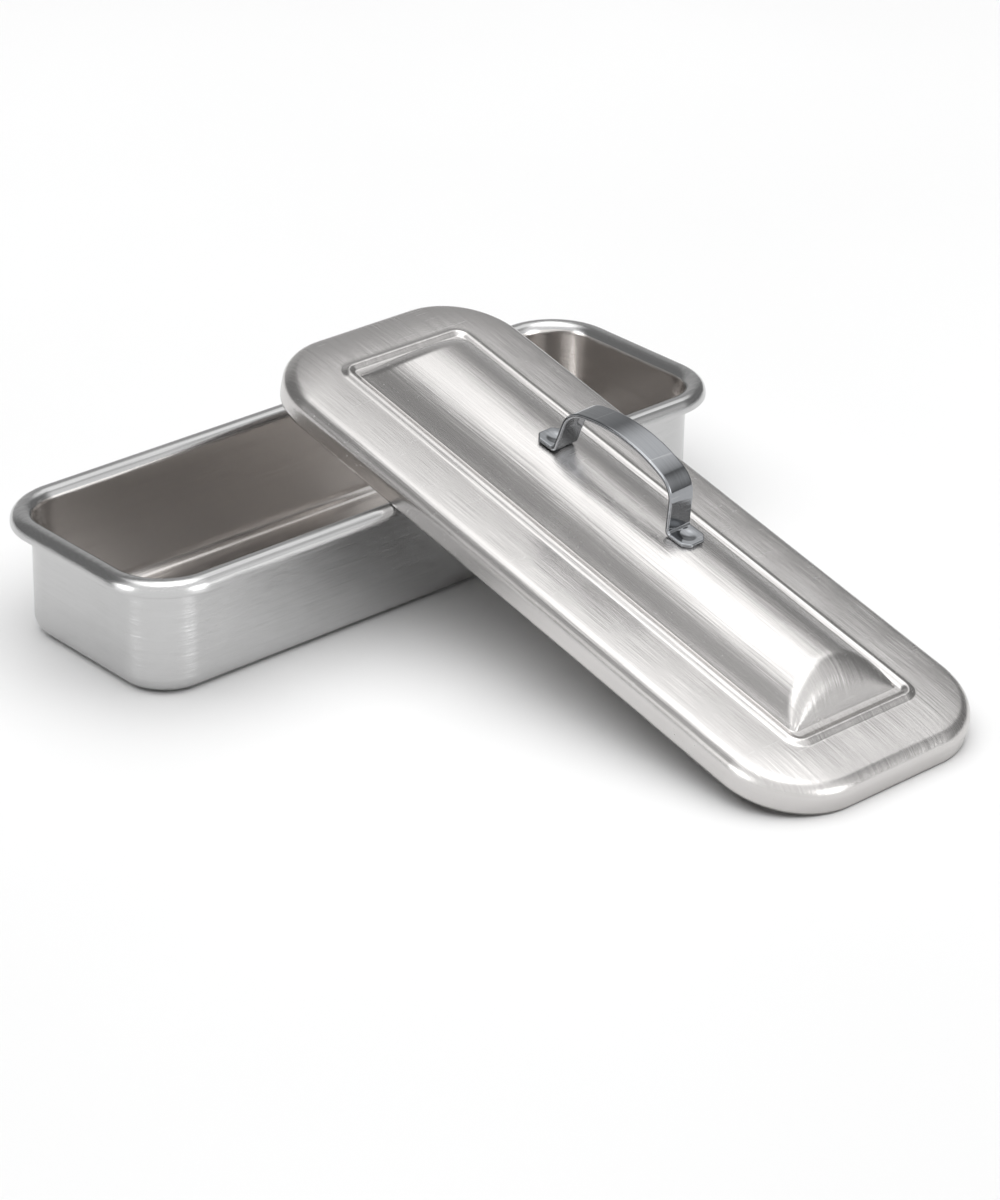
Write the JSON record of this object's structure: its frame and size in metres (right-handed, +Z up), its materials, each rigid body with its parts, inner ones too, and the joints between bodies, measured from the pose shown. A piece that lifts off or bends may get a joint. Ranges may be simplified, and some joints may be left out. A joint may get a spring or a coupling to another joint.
{
  "type": "covered instrument tray",
  "caption": "Deep rounded steel instrument tray with a rolled rim, its domed lift-off cover with a strap handle leaning crosswise on it.",
  "frame": {"origin": "middle of the tray's flat underside", "axes": "+X along the tray's long side, +Y away from the side the cover leans on, +Z up out of the table"},
  "size_m": [0.216, 0.228, 0.0661],
  "materials": {
    "satin_steel": "satin",
    "cover_steel": "fine brushed",
    "bright_steel": "bright, nearly polished"
  },
  "bodies": {
    "tray": {"tray_pan": "satin_steel"},
    "cover": {"lid_pan": "cover_steel", "strap_handle": "bright_steel", "spot_welds": "bright_steel"}
  },
  "joints": [
    {"name": "cover_lift", "type": "slide", "parent": "tray", "child": "cover", "axis": [0, 0, 1], "range_m": [0, 0.12]}
  ]
}
